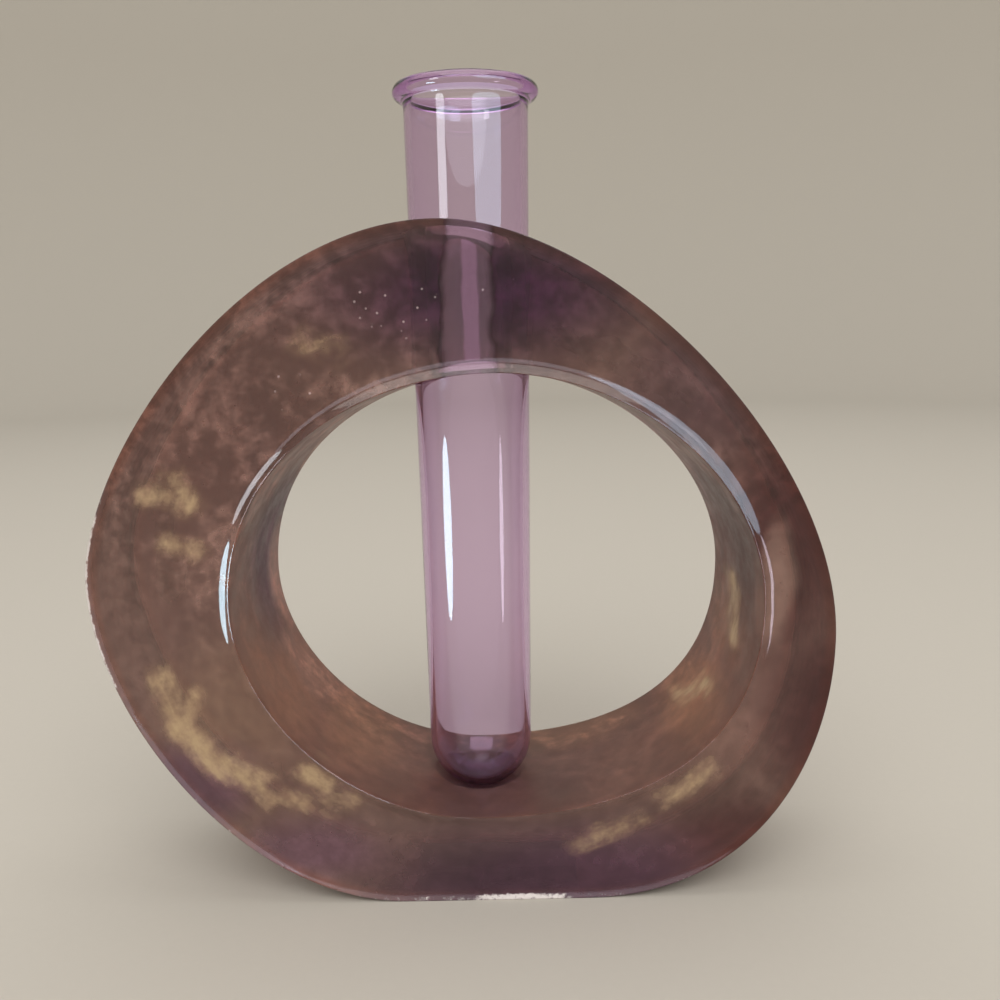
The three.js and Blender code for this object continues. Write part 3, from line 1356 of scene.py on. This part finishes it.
@dataclass
class Studio:
    """The pale floor that sweeps up into a low round wall, the lamps and the camera."""

    finish: StudioFinish
    radius: float = 1.8
    wall_height: float = 1.0
    sweep: float = 0.6
    round_steps: int = 128
    sweep_steps: int = 24
    clip_start: float = 0.01
    world_colour: Colour = (1.0, 0.97, 0.93)
    world_strength: float = 0.58
    eye: Spot = (5.32 * MM, -211.2 * MM, 120.9 * MM)
    pitch: float = math.radians(10.5)
    roll: float = math.radians(-1.15)
    lens: float = 36.0
    sensor: float = 36.0
    lamps: tuple[Softbox, ...] = (
        Softbox("brow", (0.0, -1.34, 1.45), (0.0, 0.0, 0.11), 2.2, 1.2, 22.0, (1.0, 0.97, 0.94)),
        Softbox("ceiling", (0.0, 0.15, 1.3), (0.0, 0.1, 0.0), 1.2, 1.0, 4.0, (1.0, 0.98, 0.95)),
        Softbox("window", (-0.68, -0.68, 0.25), (0.0, 0.0, 0.1), 0.28, 0.36, 2.3, (0.9, 0.94, 1.0), True),
        Softbox("sky", (0.63, -0.75, 0.33), (0.0, 0.0, 0.1), 1.0, 0.6, 8.0, (0.62, 0.81, 1.0), True),
        Softbox("shelf", (0.0, -0.9, 0.36), (0.0, 0.0, 0.15), 1.4, 0.25, 1.8, (0.85, 0.86, 1.0), True),
        Softbox(
            "spark", (0.15, -0.105, 0.037), (0.0, 0.0, 0.06), 0.025, 0.072, 0.035, (0.9, 0.82, 1.0), True
        ),
        Softbox("glint", (-0.158, -0.1, 0.037), (0.0, 0.0, 0.06), 0.06, 0.072, 0.2, (0.62, 0.86, 1.0), True),
    )

    def build(self) -> None:
        """Builds the floor, lights it and sets up the camera."""
        self._lay_floor()
        for lamp in self.lamps:
            lamp.hang()
        self._light_room()
        self._place_camera()
        bpy.context.scene.view_settings.view_transform = "Standard"

    def _lay_floor(self) -> None:
        """Draws a disc's rim up into a wall and rounds the fold between them."""
        Workbench.clear()
        bpy.ops.mesh.primitive_circle_add(vertices=self.round_steps, radius=self.radius, fill_type="TRIFAN")
        floor = bpy.context.object
        floor.name = floor.data.name = "floor"
        with Workbench.editing(floor):
            Workbench.select(floor, Element.EDGE, lambda edge: edge.is_boundary)
            bpy.ops.mesh.extrude_region_move(TRANSFORM_OT_translate={"value": (0.0, 0.0, self.wall_height)})
            Workbench.select(floor, Element.EDGE, Workbench.is_corner)
            bpy.ops.mesh.bevel(offset=self.sweep, segments=self.sweep_steps, affect="EDGES")
        Workbench.smooth(floor, CORNER_ANGLE)
        floor.data.materials.append(self.finish.make())

    def _light_room(self) -> None:
        """Fills the room with soft even light."""
        world = bpy.data.worlds.new("room")
        bpy.context.scene.world = world
        world.use_nodes = True
        background = world.node_tree.nodes["Background"]
        background.inputs["Color"].default_value = (*self.world_colour, 1.0)
        background.inputs["Strength"].default_value = self.world_strength

    def _place_camera(self) -> None:
        """Sets the camera up at the photograph's viewing angle."""
        camera = bpy.data.cameras.new("camera")
        camera.lens = self.lens
        camera.sensor_width = self.sensor
        camera.clip_start = self.clip_start
        holder = bpy.data.objects.new("camera", camera)
        bpy.context.scene.collection.objects.link(holder)
        forward = Vector((0.0, math.cos(self.pitch), -math.sin(self.pitch)))
        level_up = Vector((0.0, math.sin(self.pitch), math.cos(self.pitch)))
        across = math.cos(self.roll) * Vector((1.0, 0.0, 0.0)) + math.sin(self.roll) * level_up
        up = across.cross(forward)
        turn = Matrix((across, up, -forward)).transposed().to_4x4()
        holder.matrix_world = Matrix.Translation(self.eye) @ turn
        bpy.context.scene.camera = holder


def report(piece: bpy.types.Object, body: Body) -> None:
    """Logs a finished piece with its faces and the body that it rides on."""
    LOG.info("%s: %d faces, rides on %s", piece.name, len(piece.data.polygons), body.value)


def main() -> None:
    """Builds the studio, the tube and the ring in order, and reports each piece."""
    logging.basicConfig(level=logging.INFO, format="%(message)s")
    Studio(StudioFinish()).build()
    tube = LilacTube(*(Vector(corner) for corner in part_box("test_tube")), GlassFinish())
    tube.build()
    tube.dress()
    report(tube.piece, Body.TUBE)
    ring_low, ring_high = (Vector(corner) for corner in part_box("ring_body"))
    ring = RingCasting(
        ring_low,
        ring_high,
        ResinFinish(),
        bore_radius=tube.radius_at(ring_high.z) + BORE_CLEARANCE,
        seat_radius=tube.foot_radius + SEAT_EASE,
        seat_depth=SEAT_DEPTH,
    )
    ring.build()
    ring.dress()
    report(ring.piece, Body.RING)


if __name__ == "__main__":
    main()
